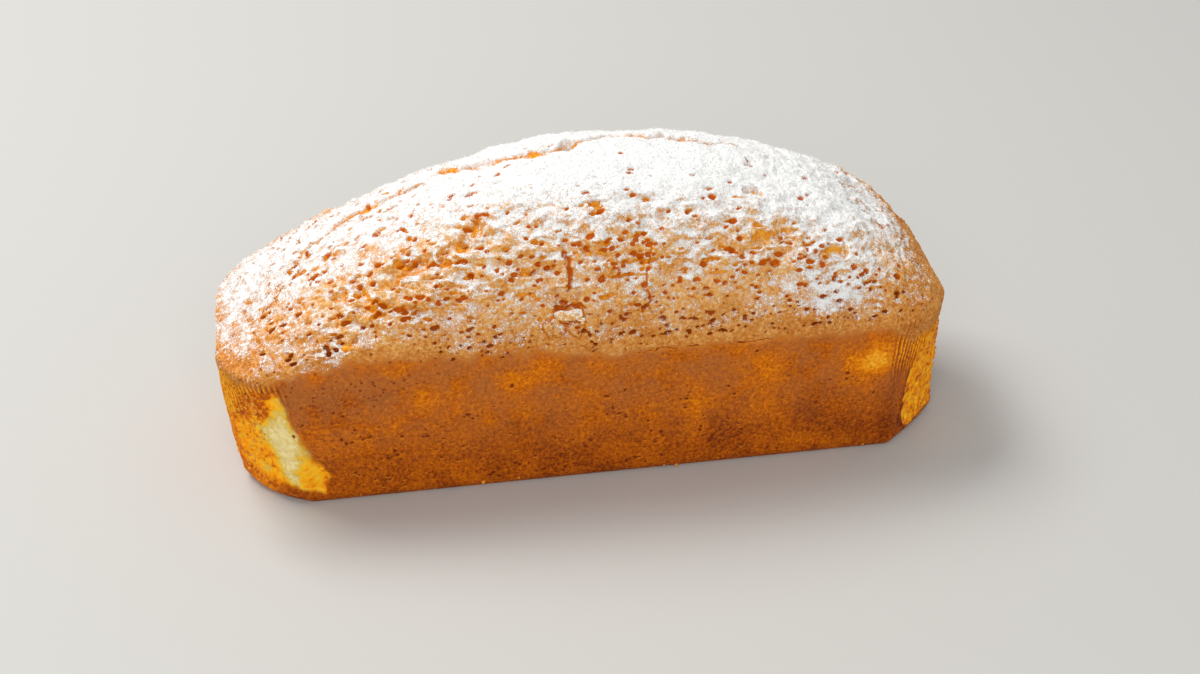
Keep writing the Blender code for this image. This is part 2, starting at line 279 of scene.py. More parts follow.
# The crust split along the crest as it rose, and tore in smaller places on its front flank:
# width, depth and places, all in millimetres.
SPLITS = (
    (3.4, 2.2, [(-95, 4, 72), (-86, 5, 78), (-79, 8, 82), (-67, 8, 88), (-53, 9, 94)]),
    (4.6, 2.8, [(-45, 13, 96), (-38, 7, 100), (-26, 5, 103), (-12, 1, 106), (-2, 5, 107)]),
    (3.6, 2.4, [(-4, 5, 107), (4, 8, 106), (12, 12, 105), (22, 8, 106), (36, 7, 104)]),
    (3.2, 2.2, [(30, 8, 105), (43, 5, 103), (50, 6, 101), (58, 4, 99), (66, 2, 96)]),
)
TEARS = (
    (4.0, 2.2, [(-70, -30, 79), (-64, -30, 81), (-57, -28, 85)]),
    (3.2, 1.8, [(-92, -1, 74), (-97, 3, 70)]),
    (3.0, 1.6, [(-87, -8, 77), (-82, -10, 80)]),
    (3.0, 1.6, [(-91, -15, 74), (-87, -15, 76)]),
    (3.2, 1.6, [(-85, -27, 74), (-82, -29, 75)]),
    (3.6, 1.8, [(-77, -30, 76), (-74, -33, 75)]),
    (3.0, 1.6, [(-82, -36, 70), (-78, -37, 70)]),
    (2.8, 1.5, [(-84, -40, 64), (-80, -40, 65)]),
    (3.0, 1.6, [(-71, -35, 75), (-67, -35, 75)]),
    (3.2, 1.8, [(-64, -38, 73), (-59, -39, 73)]),
    (2.8, 1.6, [(-50, -29, 87), (-43, -28, 90)]),
    (3.0, 1.8, [(-43, -27, 91), (-37, -26, 93)]),
    (2.6, 1.5, [(-50, -31, 85), (-45, -31, 86)]),
    (3.0, 1.7, [(-25, -36, 83), (-20, -36, 84), (-15, -37, 84)]),
    (4.4, 2.4, [(-3, -35, 88), (2, -36, 86)]),
    (3.4, 1.6, [(53, -33, 86), (59, -32, 86), (68, -30, 85)]),
    (4.2, 2.2, [(76, -34, 79), (80, -34, 78), (83, -33, 78)]),
    (4.0, 2.0, [(93, 3, 81), (97, 8, 78)]),
    (4.0, 2.0, [(54, -19, 97), (58, -19, 96)]),
)
# Narrow cracks on the front flank, given in the same way.
CRACKS = (
    (2.0, 2.8, [(-11, -34, 88), (-9, -37, 85), (-9, -38, 81), (-10, -39, 77)]),
    (1.0, 1.2, [(18, -36, 87), (16, -38, 80), (14, -40, 76), (17, -41, 72), (14, -42, 67)]),
    (1.7, 2.0, [(-14, -41, 70.5), (-9, -41, 71.5), (-5, -41, 70.5)]),
    (0.7, 0.5, [(12, -43.3, 52.2), (26, -43.4, 52.9), (40, -43.4, 52.3), (58, -43.2, 53.0)]),
)
# Cracks beside which the crust stands higher: how much, how far from the line, and its places.
STEPS = (
    (1.3, 7.0, [(-11, -34, 88), (-9, -37, 85), (-9, -38, 81), (-10, -39, 77)]),
    (0.6, 5.0, [(18, -36, 87), (15, -40, 76), (17, -41, 72)]),
)
# Dents, and one swelling: radius, depth and middle.
DENTS = ((6.0, 1.6, (-50, -40, 73)), (5.0, 1.4, (27, -38, 81)), (9.0, -1.4, (76, -43, 58)))
# Plates of crust that came loose on the front: how far each stands out, or lies sunk where it is
# gone, and its outline (x, z).
FLAKES = (
    (-1.8, [(-14, 78), (-14, 72), (-7, 72), (-6, 77)]),
    (1.0, [(-15, 70), (-14, 67), (-10, 66), (-6, 68), (-7, 71)]),
    (1.2, [(-19, 66), (-15, 68), (-12, 65), (-13, 62), (-17, 61)]),
    (1.1, [(-12, 64), (-9, 66), (-5, 65), (-7, 60.5)]),
)
SPLIT_LIP = 0.15                    # lip behind a split, as a share of its depth
SPLIT_LIP_BACK = 3.5 * MM
WANDER, FINE_WANDER = 1.6 * MM, 0.7 * MM

mesh = loaf_skin()
points = read(mesh.vertices, "co")
normals = read(mesh.vertex_normals, "vector")
x, y, z = points.T
facing_up = normals[:, 2].copy()
on_dome = smooth_step(RIM_HEIGHT - 4 * MM, RIM_HEIGHT + 10 * MM, z)
above_rim = z > RIM_HEIGHT
stray = np.stack([noise_at(points, 5 * MM, seed) for seed in (1, 2, 3)], axis=1)
fine_stray = np.stack([lumps(points, 1.6 * MM, seed) for seed in (4, 5, 6)], axis=1)
loose = points + WANDER * stray + FINE_WANDER * fine_stray
ragged = 0.75 + 0.5 * stray[:, 0]
relief = np.zeros(len(points))
fresh = np.zeros(len(points))       # crumb laid bare by a tear
hollow_and_shade = np.zeros(len(points))      # holes that burst bubbles left, cracks and flake outlines, which the material paints with shade

for width, depth, places in SPLITS:
    gap = crust_gap(loose, places)
    cut = (1 - ramp(0.15 * width, 0.55 * width, gap)) * above_rim
    behind = np.array(places) + [0, SPLIT_LIP_BACK / MM, 0]
    lip = 1 - ramp(0, width, crust_gap(loose, behind))
    relief += depth * MM * (SPLIT_LIP * lip - cut * ragged)
    fresh = np.maximum(fresh, np.clip(cut * (0.95 + 1.2 * stray[:, 1]), 0, 1))
for width, depth, places in TEARS:
    gap = crust_gap(loose, places) + 0.6 * MM * lumps(points, 2.2 * MM, 9)
    cut = 1 - ramp(0.2 * width, 0.5 * width, gap)
    relief -= depth * MM * cut * ragged
    fresh = np.maximum(fresh, cut * np.clip(0.55 + 0.9 * lumps(points, 2 * MM, 10), 0, 1))
for width, depth, places in CRACKS:
    gap = crust_gap(points + 0.6 * WANDER * stray + 0.8 * MM * fine_stray, places)
    gap += 0.4 * MM * np.clip(lumps(points, 3 * MM, 20), 0, 1)
    cut = 1 - ramp(0.1 * width, 0.6 * width, gap)
    relief -= depth * MM * cut * ragged
    # The cracks join the same mask, so they are painted dark as shade inside them.
    hollow_and_shade = np.maximum(hollow_and_shade, 0.9 * cut)
for lift, reach, places in STEPS:
    way = np.array(places[-1])[::2] - np.array(places[0])[::2]
    gap = crust_gap(loose, places)
    side = (points[:, 0] / MM - places[0][0]) * way[1] - (points[:, 2] / MM - places[0][2]) * way[0]
    raised = (1 - ramp(0, reach, gap)) * smooth_step(-2, 2, side) * (y < 0)
    relief += lift * MM * raised
for radius, depth, place in DENTS:
    gap = np.linalg.norm(loose - np.array(place) * MM, axis=1)
    relief -= depth * MM * (1 - ramp(0, radius, gap))
for lift, corners in FLAKES:
    inside = depth_inside((points + 0.6 * WANDER * stray + FINE_WANDER * fine_stray)[:, [0, 2]], corners)
    on_front = y < -30 * MM
    relief += lift * MM * ramp(-0.2, 0.35, inside) * on_front
    # Painted shadow: a dark outline just outside each raised flake, kept in the holes' mask.
    rim = ramp(-0.9, -0.4, inside) * (1 - ramp(-0.1, 0.3, inside))
    hollow_and_shade = np.maximum(hollow_and_shade, 0.62 * rim * on_front * (lift > 0))

# Smaller tears follow the length of the loaf, most of them on the front left of the dome.
TEAR_LENGTH, TEAR_HEIGHT, TEAR_DEPTH = 4.4 * MM, 1.9 * MM, 1.9 * MM
# Along the loaf (x, in millimetres): how much of the dome they open.
TORN_SHARE = ((-118, 0.5), (-98, 1.0), (-50, 1.0), (-15, 0.75), (20, 0.5), (60, 0.35),
              (95, 0.4), (112, 0.2))
long_grain = lumps(points, (TEAR_LENGTH, TEAR_HEIGHT, TEAR_HEIGHT), 15)
long_grain += 0.45 * lumps(points, (1.8 * MM, 0.8 * MM, 0.8 * MM), 16)
long_grain += 0.3 * lumps(points, 9 * MM, 17)
share_x, torn_share = np.array(TORN_SHARE).T
torn_share = np.interp(x, share_x * MM, torn_share) * ramp(59, 68, z)
crest = 1 - ramp(17, 27, np.abs(y))
torn_share *= 1 - crest * np.interp(x, [-60 * MM, -10 * MM], [0.3, 0.9])
torn_share *= 1 - 0.5 * ramp(10, 25, y)
opening = long_grain - (0.95 - 0.42 * torn_share)
allowed = smooth_step(0.02, 0.15, torn_share)
relief -= TEAR_DEPTH * smooth_step(-0.02, 0.2, opening) * allowed * (0.8 + 0.4 * stray[:, 2])
fresh = np.maximum(fresh, smooth_step(-0.02, 0.1, opening) * allowed)

# Where the mould pulled the crust off two corners: outlines around the corner, from the front
# face to the end face, and up, in millimetres.
TORN_CORNERS = {
    "left": [(7, 49), (1, 32), (-4, 12), (-1, 4), (7, 6), (15, 8), (26, 3), (46, 8), (44, 26), (34, 36),
             (26, 44), (15, 48)],
    "right": [(25, 41), (19, 31), (15, 20), (13, 10), (18, 4), (50, 3), (60, 12), (58, 34), (40, 42)],
}
TORN_DEPTH = {"left": 1.1 * MM, "right": 0.35 * MM}
TORN_EDGE = {"left": 2.4 * MM, "right": 1.3 * MM}
CORNER_START = {"left": 97 * MM, "right": 101 * MM}     # how far out each corner starts
CORNER_FRONT = 41 * MM
# Part of the left one is cream-coloured: how much paler, and the outline as above.
CREAM_PLACES = (
    (0.24, [(8, 45), (1, 39), (-1, 33), (-3, 27), (0, 21), (7, 17), (9, 12), (7, 8), (0, 4), (9, 3),
            (17, 9), (18, 19), (21, 24), (27, 29), (18, 36), (14, 41)]),
    (0.34, [(11, 37), (6, 31), (5, 24), (8, 17), (11, 11), (6, 5), (12, 9), (18, 16), (18, 24), (22, 29),
            (15, 33)]),
)
# Spots there: place around and up, size, and how much paler or darker.
CREAM_SPOTS = ((18, 17, 5, -0.24), (27, 10, 5, 0.14))
crumb_lumps = noise_at(points, 3.5 * MM, 7)
crumb_grain = lumps(points, 1.1 * MM, 21)
torn = np.zeros(len(points))
torn_edge_shade = np.zeros(len(points))
cream = (0.16 * crumb_lumps + 0.2 * crumb_grain) * np.where(x < 0, 1, 1.2)
for end, corners in TORN_CORNERS.items():
    toward_end = (-x if end == "left" else x) - CORNER_START[end]
    around = toward_end + y + CORNER_FRONT
    at_end = (y < 0) & (toward_end > -21 * MM)
    flat = np.stack([around, z], axis=1) + WANDER * noise_at(points, 5 * MM, 8)[:, None]
    flat += FINE_WANDER * fine_stray[:, :2]
    inside = depth_inside(flat, corners)
    fading = ramp(14, 5, around) * ramp(14, 22, z) * (x < 0)
    patch = smooth_step(-TORN_EDGE[end], TORN_EDGE[end] + 7 * MM * fading, inside) * at_end
    rough = 0.8 if end == "right" else 0.5 + 0.9 * ramp(8, 20, around)
    relief -= patch * (TORN_DEPTH[end] + rough * MM * (crumb_lumps + 0.7 * crumb_grain))
    torn = np.maximum(torn, patch)
    cream += at_end * (0.24 + (0.2 if end == "left" else 0.06) * ramp(-1, 4, inside))
    if end == "left":
        pale = [ramp(-3, 3.4, depth_inside(flat, place)) * at_end
                for _, place in CREAM_PLACES]
        for (paler, _), middle in zip(CREAM_PLACES, pale):
            cream += paler * middle
        beside = (1 - pale[0]) * at_end
        left_of_cream = beside * ramp(8, 14, around)
        cream += 0.1 * crumb_grain * left_of_cream
        cream -= 0.05 * left_of_cream + 0.17 * ramp(26, 36, z) * left_of_cream
        cream -= 0.16 * ramp(12, 5, z) * beside
        for middle_around, middle_z, half_size, paler in CREAM_SPOTS:
            far = np.hypot(around - middle_around * MM, z - middle_z * MM) / (half_size * MM)
            cream += paler * np.exp(-far ** 2) * at_end
    else:
        # Painted shade: a darker band just outside the right torn patch, along its raised crust edge.
        torn_edge_shade = at_end * np.exp(-((inside + 1.5 * MM) / (1.5 * MM)) ** 2)

# Fine pleats of the mould stay pressed into the four corners, just under the rim; in the bake below their
# grooves are painted darker as shade, and their ridges paler.
PLEAT_PITCH = 2.3 * MM
PLEAT_DEPTH = 1.0 * MM
PLEATS_START = 98 * MM
around = np.abs(x) - PLEATS_START + CORNER_FRONT - np.abs(y)
on_corner = ramp(2, 9, around) * (1 - ramp(44, 56, around))
pleated = ramp(24, 38, z) * (1 - ramp(50, 55, z)) * on_corner
pleated *= (1 - torn) * (0.75 + 0.5 * lumps(points, 6 * MM, 32))
worn_pleats = 0.2 + 0.4 * smooth_step(-0.5, 0.5, lumps(points, 9 * MM, 33))
pleated *= np.where(y < 0, 1, worn_pleats * ramp(2, 18, around))
pleats = np.sin(2 * np.pi * around / PLEAT_PITCH + 2.2 * lumps(points, (9 * MM, 9 * MM, 16 * MM), 31))
relief += PLEAT_DEPTH * pleats * pleated

# The right end of the dome stands a little fuller than a plain curve, round one place (x, z).
SWELL_X, SWELL_Z, SWELL_HALF_X, SWELL_HALF_Z = 113 * MM, 76 * MM, 12 * MM, 13 * MM
SWELL_LIFT = 2.4 * MM
far = np.hypot((x - SWELL_X) / SWELL_HALF_X, (z - SWELL_Z) / SWELL_HALF_Z)
relief += SWELL_LIFT * np.exp(-far ** 2)

# The crust's own lumps: broad ones as on the frame's solid, then the plates of a crackled crust,
# whose edges step down sharply, and a finer roughness.
PLATE_STEP = 0.34 * MM
relief += noise_at(points, 22 * MM, 11) * (0.5 + on_dome) * MM
relief += noise_at(points, 8 * MM, 12) * (0.2 + 0.6 * on_dome) * MM
crown = on_dome * smooth_step(0.15, 0.5, facing_up)
cracked = 2.4 * lumps(points, (4.6 * MM, 2.8 * MM, 2.8 * MM), 13) + 0.6 * stray[:, 0]
level = np.floor(cracked)
plates = level + smooth_step(0.3, 0.62, cracked - level)
calm = 1 - 0.6 * smooth_step(0.72, 0.95, facing_up) * (1 - ramp(40, 80, x))
relief += PLATE_STEP * plates * crown * calm
ridged = 1 - 2 * np.abs(lumps(points, (3.2 * MM, 2.2 * MM, 2.2 * MM), 19))
roughness = ridged * (0.05 + 0.1 * on_dome + 0.25 * crown * calm) * MM
roughness += lumps(points, 1.9 * MM, 14) * (0.06 + 0.1 * on_dome + 0.2 * crown) * MM
roughness += lumps(points, 1.0 * MM, 18) * (0.05 + 0.07 * on_dome + 0.06 * crown) * MM
relief += roughness

# -- bubbles that burst at the crust: round holes low on the dome and on the wall, longer ones
# higher up --


def burst_bubbles(count, seed, zone, sizes, stretch, depth):
    """Sinks seeded holes into a zone of the crust, stretched along the loaf."""
    draw = np.random.default_rng(seed)
    share = zone * spot_area
    chosen = draw.choice(len(points), count, p=share / share.sum())
    for centre in chosen:
        radius = draw.triangular(sizes[0], sizes[0], sizes[1])
        length = radius * draw.uniform(*stretch)
        lean = draw.normal(0.1, 0.25)
        near = [hit[1] for hit in tree.find_range(points[centre], length * 1.4)]
        across = np.cross(normals[centre], (1, 0, 0))
        across /= np.linalg.norm(across)
        along = np.cross(across, normals[centre])
        offset = points[near] - points[centre] + 0.35 * radius * fine_stray[near]
        far_along = offset @ (along + lean * across)
        far_across = offset @ (across - lean * along)
        far = np.hypot(far_along / length, far_across / radius)
        sunk[near] = np.maximum(sunk[near], (1 - smooth_step(0.55, 1.0, far)) * depth * radius)
        hollow_and_shade[near] = np.maximum(hollow_and_shade[near], 1 - smooth_step(0.7, 1.02, far))


def spot_areas():
    """Roughly the area of skin round each point, so that holes spread evenly."""
    areas = np.empty(len(mesh.polygons))
    mesh.polygons.foreach_get("area", areas)
    areas[areas > 10 * MM ** 2] = 0
    corners = np.empty(len(mesh.loops), dtype=np.int32)
    mesh.loops.foreach_get("vertex_index", corners)
    totals = np.empty(len(mesh.polygons), dtype=np.int32)
    mesh.polygons.foreach_get("loop_total", totals)
    return np.bincount(corners, weights=np.repeat(areas, totals), minlength=len(points))


spot_area = spot_areas()
tree = kdtree.KDTree(len(points))
for number, point in enumerate(points):
    tree.insert(point, number)
tree.balance()
sunk = np.zeros(len(points))

low_dome = ramp(54, 58, z) * (1 - smooth_step(0.5, 0.75, facing_up))
low_dome *= 0.6 + 0.4 * ramp(-70, -20, x)
high_dome = ramp(58, 66, z) * smooth_step(0.25, 0.6, facing_up)
high_dome *= np.interp(x, np.array([-120, -60, 0, 100]) * MM, [1, 1, 0.5, 0.35])
high_dome *= 1 - 0.7 * smooth_step(0.8, 0.93, facing_up) * ramp(-90, -50, x)
low_dome *= 1 - 0.4 * ramp(0, 20, y)
high_dome *= 1 - 0.5 * ramp(5, 25, y)
whole_wall = (z < 50 * MM) * (z > 3 * MM) * (1 - torn) * (1 - ramp(5, 45, z) / 1.6)
whole_wall *= smooth_step(-0.1, 0.3, noise_at(points, 12 * MM, 46))
# Clusters of small dark pits low on the front: half sizes, and places (x, z) in millimetres.
PITS_HALF_X, PITS_HALF_Z = 2.6 * MM, 1.9 * MM
PIT_CLUSTERS = (
    (-88, 36), (-82, 30), (-86, 26), (-91, 38), (-70, 19), (-71, 17), (-44, 33), (4, 28), (20, 17), (23, 14),
    (39, 20), (38, 12), (50, 13), (61, 6), (11, 7), (22, 6), (-13, 10), (-20, 5), (-27, 9), (-36, 6),
    (-66, 8), (-58, 26), (28, 32), (78, 34), (-76, 14), (36, 17), (-4, 15), (-92, 20), (10, 5), (-12, 5),
)
clusters = np.zeros(len(points))
for middle_x, middle_z in PIT_CLUSTERS:
    gap = np.hypot((x - middle_x * MM) / PITS_HALF_X, (z - middle_z * MM) / PITS_HALF_Z)
    clusters += np.exp(-gap ** 2) * (y < -30 * MM)
fine_pits = ramp(53, 57, z) * (1 - ramp(66, 80, z))
clusters += 0.34 * fine_pits * smooth_step(-0.3, 0.3, stray[:, 2])
clusters += 0.24 * ramp(34, 48, z) * ramp(-45, -75, x) * (fine_pits == 0)
# How many holes, their seed and zone, smallest and largest radius, stretch, and depth in radii.
BUBBLES = (
    (560, 41, low_dome, (0.4 * MM, 1.15 * MM), (1.0, 1.7), 1.8),
    (360, 42, high_dome, (0.5 * MM, 1.25 * MM), (1.1, 2.1), 1.5),
    (200, 45, whole_wall, (0.45 * MM, 1.0 * MM), (1.0, 1.8), 0.9),
)
for bubbles in BUBBLES:
    burst_bubbles(*bubbles)
relief -= sunk

# -- where the icing sugar settled: thick along the crest, thinning down the front flank --

# Along the loaf (x): how much of the crest the sugar covers, and the y between which it thins
# out down the front flank, in millimetres.
DUST_ALONG = (
    (-124, 0.68, 22, -60), (-110, 0.73, 16, -59), (-95, 0.75, 9, -57), (-80, 0.78, 0, -56),
    (-60, 0.79, -6, -54), (-40, 0.85, -10, -51), (-20, 0.95, -14, -47), (10, 1.0, -17, -47),
    (40, 1.0, -17, -47), (70, 1.0, -19, -48), (90, 0.96, -14, -47), (103, 0.72, -5, -45),
    (112, 0.30, 0, -36), (123, 0.06, 0, -24),
)
DUST_BACK = (16 * MM, 45 * MM)
# The height (x, z) where it ends over the rim, and patches (x, z, half sizes) with more or less.
DUST_FOOT = (
    (-124, 49), (-112, 50), (-105, 53), (-92, 56), (-78, 58), (-64, 56.5), (-48, 55.5), (60, 56), (90, 53),
    (124, 54),
)
DUST_PATCHES = (
    (72, 74, 13, 8, 0.3), (71, 66, 10, 4, 0.38), (57, 84, 9, 5, -0.22), (94, 77, 8, 12, -0.18),
    (-100, 60, 7, 8, 0.2), (45, 88, 10, 5, -0.15), (-78, 60, 13, 4.5, -0.3), (-89, 57, 7, 3, -0.25),
)
SUGAR_THICKNESS = 0.15 * MM
SUGAR_FILLS = 0.6                   # how much of the finest relief it hides
BARE_HOLES, BARE_TEARS = 0.92, 0.96         # how much less of it lies in them

dust_x, crest_share, dust_full, dust_end = np.array(DUST_ALONG).T
drift = x + 4 * MM * stray[:, 1] + 0.25 * y
full_y = np.interp(drift, dust_x * MM, dust_full * MM)
end_y = np.interp(drift, dust_x * MM, dust_end * MM)
down_front = y + 2.5 * MM * noise_at(points, 11 * MM, 51)
dust = np.interp(drift, dust_x * MM, crest_share)
dust *= np.clip((down_front - end_y) / (full_y - end_y), 0, 1)
dust *= 1 - smooth_step(*DUST_BACK, down_front)
foot_x, foot_z = np.array(DUST_FOOT).T
above_foot = z + 1.2 * MM * fine_stray[:, 0] - np.interp(x, foot_x * MM, foot_z * MM)
dust *= ramp(0, 7, above_foot)
for middle_x, middle_z, half_x, half_z, more in DUST_PATCHES:
    far = np.hypot((drift / MM - middle_x) / half_x, (z / MM + 2 * stray[:, 2] - middle_z) / half_z)
    dust += more * np.exp(-far ** 2) * (y < 0) * (above_foot > 0)
dust = np.clip(dust, 0, 1)

# Up-facing ledges of the torn crust hold more sugar than the steep faces under them.
mesh.vertices.foreach_set("co", (points + normals * relief[:, None]).ravel())
mesh.update()
ledge = read(mesh.vertex_normals, "vector")[:, 2] - facing_up
broken = 0.25 + 2.4 * dust * (1 - dust)
dust_lumps = 0.24 * noise_at(points, 6 * MM, 52) + 0.34 * lumps(points, 1.8 * MM, 53)
dust += broken * (0.85 * ledge + dust_lumps) * (dust > 0.01)
dust *= 1 - BARE_HOLES * np.clip(hollow_and_shade, 0, 1)
dust *= 1 - BARE_TEARS * np.clip(fresh, 0, 1)
dust = np.clip(dust, 0, 1)
covered = smooth_step(0.5, 1.0, dust)
grainy = 0.14 * lumps(points, 1.2 * MM, 54) + 0.14 * lumps(points, 0.8 * MM, 55)
relief += covered * (SUGAR_THICKNESS + grainy * MM - SUGAR_FILLS * roughness)

# -- how brown the crust baked: the wall darkest, with glows where it touched the mould less --

# Middles (x, z), half sizes along x and z, all in millimetres, and how much paler each place is.
GLOWS = (
    (95, 38, 6, 4, 0.24), (94, 39, 12, 9, 0.32), (57, 41, 5, 8, 0.16), (59, 32, 6, 14, 0.12),
    (33, 22, 5, 14, 0.12), (-25, 47, 7, 5, 0.18), (-57, 42, 7, 6, 0.13), (12, 49, 12, 3, 0.06),
    (-45, 6, 30, 4, 0.05), (74, 6, 20, 4, 0.1), (100, 46, 9, 5, 0.08), (-40, 30, 14, 8, 0.05),
)
DARK_PLACES = (
    (-92, 45, 20, 7, 0.14), (78, 22, 14, 10, 0.15), (-20, 22, 22, 8, 0.06), (102, 18, 4, 16, 0.12),
    (106, 40, 2.5, 7, 0.14), (-86, 16, 12, 12, 0.05), (44, 12, 10, 5, 0.06),
)
# The height (x, z) up to which the crust browned against the mould.
BROWNED_UP_TO = (
    (-126, 49.6), (-112, 50.4), (-105, 54.4), (-92, 57.4), (-85, 58.4), (-78, 59.0), (-68, 58.6),
    (-58, 57.4), (-30, 57.0), (-21, 56.4), (-7, 53.8), (7, 52.6), (99, 52.6), (108, 43.6),
)
at_front = ramp(0, 10, -y)
bake = 0.6 + 0.07 * noise_at(points, 26 * MM, 61) + 0.1 * noise_at(points, 9 * MM, 62)
bake += 0.13 * (1 - ramp(2, 30, z)) * (z < RIM_HEIGHT)
drifted = points / MM + 2.5 * stray
for places, sign in ((GLOWS, -1), (DARK_PLACES, 1)):
    for middle_x, middle_z, half_x, half_z, strength in places:
        far = np.hypot((drifted[:, 0] - middle_x) / half_x, (drifted[:, 2] - middle_z) / half_z)
        bake += sign * strength * np.exp(-far ** 2) * at_front
# The same on the back and the ends: middle, size and how much paler.
OTHER_GLOWS = (((-60, 40, 32), 20, 0.14), ((72, 42, 36), 17, 0.18), ((-124, 12, 30), 14, 0.14),
               ((10, 41, 44), 12, 0.1), ((126, 6, 34), 13, 0.14), ((-112, 30, 20), 12, 0.16))
for middle, size, strength in OTHER_GLOWS:
    far = np.linalg.norm(drifted - np.array(middle), axis=1) / size
    bake -= strength * np.exp(-far ** 2)
line_x, line_z = np.array(BROWNED_UP_TO).T
over_line = z - np.interp(x, line_x * MM, line_z * MM)
over_line += 1.8 * MM * stray[:, 0] + 0.9 * MM * fine_stray[:, 0]
softness = np.interp(x, [-60 * MM, 0], [2.7 * MM, 2.1 * MM])
risen = smooth_step(-1, 1, over_line / softness)
at_end = ramp(104, 114, np.abs(x)) * (z < 54 * MM)
bake -= at_end * (0.1 + 0.1 * ramp(40, 14, z) + 0.16 * (x < 0))
# Painted shade and light: darker in the pleats' grooves, paler on their ridges.
bake -= (1.0 * pleats - 0.15) * pleated
# Painted shade along the right torn patch's edge.
bake += 0.3 * torn_edge_shade
bake = np.clip(bake, 0, 1)

relief *= ramp(0, 2, z)
moved = points + normals * relief[:, None]
moved[:, 0] += MIDDLE_SHIFT
moved[:, 2] = np.maximum(moved[:, 2], 0)
mesh.vertices.foreach_set("co", moved.ravel())
FINISHES = {"bake": bake, "risen": risen, "dust": dust, "hollow_and_shade": hollow_and_shade, "fresh": fresh,
            "torn": torn, "cream": cream, "pitted": clusters}
for name, values in FINISHES.items():
    store(mesh, name, np.clip(values, 0, 1))
mesh.update()
final_normals = read(mesh.vertex_normals, "vector")


# -- the crust's material --


def fill(node, inputs):
    """Gives each input of a node its constant, or links the socket that feeds it."""
    for name, value in dict(inputs).items():
        if isinstance(value, bpy.types.NodeSocket):
            node.id_data.links.new(value, node.inputs[name])
        else:
            node.inputs[name].default_value = value


def add(nodes, kind, inputs=(), **settings):
    """Adds a shader node with its settings and inputs."""
    made = nodes.new(kind)
    for name, value in settings.items():
        setattr(made, name, value)
    fill(made, inputs)
    return made


def new_material(name):
    """A material; returns it, its nodes and its shader."""
    material = bpy.data.materials.new(name)
    material.use_nodes = True
    nodes = material.node_tree.nodes
    return material, nodes, nodes["Principled BSDF"]


def attribute(nodes, name):
    return add(nodes, "ShaderNodeAttribute", attribute_name=name).outputs["Fac"]


def work(nodes, operation, *values):
    return add(nodes, "ShaderNodeMath", enumerate(values), operation=operation).outputs[0]


def times(nodes, value, factor, plus=None):
    """The value times the factor, plus a third value if given."""
    if plus is None:
        return work(nodes, "MULTIPLY", value, factor)
    return work(nodes, "MULTIPLY_ADD", value, factor, plus)


def spread(nodes, value, low, high, to_low=0.0, to_high=1.0):
    """Turns low..high of a value into to_low..to_high with soft ends."""
    made = add(nodes, "ShaderNodeMapRange", interpolation_type="SMOOTHSTEP", inputs={
        "Value": value, "From Min": low, "From Max": high, "To Min": to_low, "To Max": to_high})
    return made.outputs["Result"]


def cloud(nodes, place, size, detail=2.0, roughness=0.55):
    """Noise from 0 to 1 with features of the given size in metres."""
    made = add(nodes, "ShaderNodeTexNoise", {"Vector": place, "Scale": 1 / size, "Detail": detail,
                                             "Roughness": roughness})
    return made.outputs["Fac"]


def coat(nodes, share, under, over, way="MIX"):
    """Lays the colour over on the colour under."""
    made = add(nodes, "ShaderNodeMix", {0: share, 6: under, 7: over}, data_type="RGBA", blend_type=way)
    return made.outputs[2]


def tones(nodes, value, stops):
    """Colours along a value, from pairs of a place and a linear colour."""
    made = add(nodes, "ShaderNodeValToRGB", {"Fac": value})
    while len(made.color_ramp.elements) < len(stops):
        made.color_ramp.elements.new(0.5)
    for element, (place, colour) in zip(made.color_ramp.elements, stops):
        element.position = place
        element.color = (*colour, 1)
    return made.outputs["Color"]


def new_group(name, inputs, outputs):
    """A node group with float outputs; returns it, its nodes and its input sockets."""
    group = bpy.data.node_groups.new(name, "ShaderNodeTree")
    for socket, kind in inputs.items():
        group.interface.new_socket(socket, in_out="INPUT", socket_type=kind)
    for socket in outputs:
        group.interface.new_socket(socket, in_out="OUTPUT", socket_type="NodeSocketFloat")
    return group, group.nodes, group.nodes.new("NodeGroupInput").outputs


VECTOR, FLOAT = "NodeSocketVector", "NodeSocketFloat"

# Baked crumb: slow blotches, a fine mottle, and pores no wider than a millimetre.
crumb_texture, nodes, given = new_group(
    "baked_crumb", {"Place": VECTOR, "Open": FLOAT}, ("Blotch", "Mottle", "Pores"))
warp = add(nodes, "ShaderNodeTexNoise", {"Vector": given["Place"], "Scale": 1 / (1.2 * MM), "Detail": 1.0})
warp = add(nodes, "ShaderNodeVectorMath", {0: warp.outputs["Color"], 1: (1.1 * MM, 0.7 * MM, 0.7 * MM)},
           operation="MULTIPLY")
warp = add(nodes, "ShaderNodeVectorMath", {0: given["Place"], 1: warp.outputs[0]}, operation="ADD")
cell = add(nodes, "ShaderNodeTexVoronoi", {"Vector": warp.outputs[0], "Scale": 1 / (1.6 * MM)})
chance = work(nodes, "FRACT", times(nodes, cell.outputs["Color"], 7.3))
reach = spread(nodes, chance, 0.4, 0.95, 0.02, 0.36)
opened = times(nodes, given["Open"], spread(nodes, chance, 0.3, 0.8, 0.0, 0.42))
reach = work(nodes, "ADD", reach, opened)
share = work(nodes, "DIVIDE", cell.outputs["Distance"], reach)
pores = work(nodes, "SUBTRACT", 1.0, spread(nodes, share, 0.5, 1.0))
add(nodes, "NodeGroupOutput", {
    "Blotch": cloud(nodes, given["Place"], 9 * MM, 3.0, 0.6),
    "Mottle": cloud(nodes, given["Place"], 1.2 * MM, 4.0, 0.75),
    "Pores": pores})

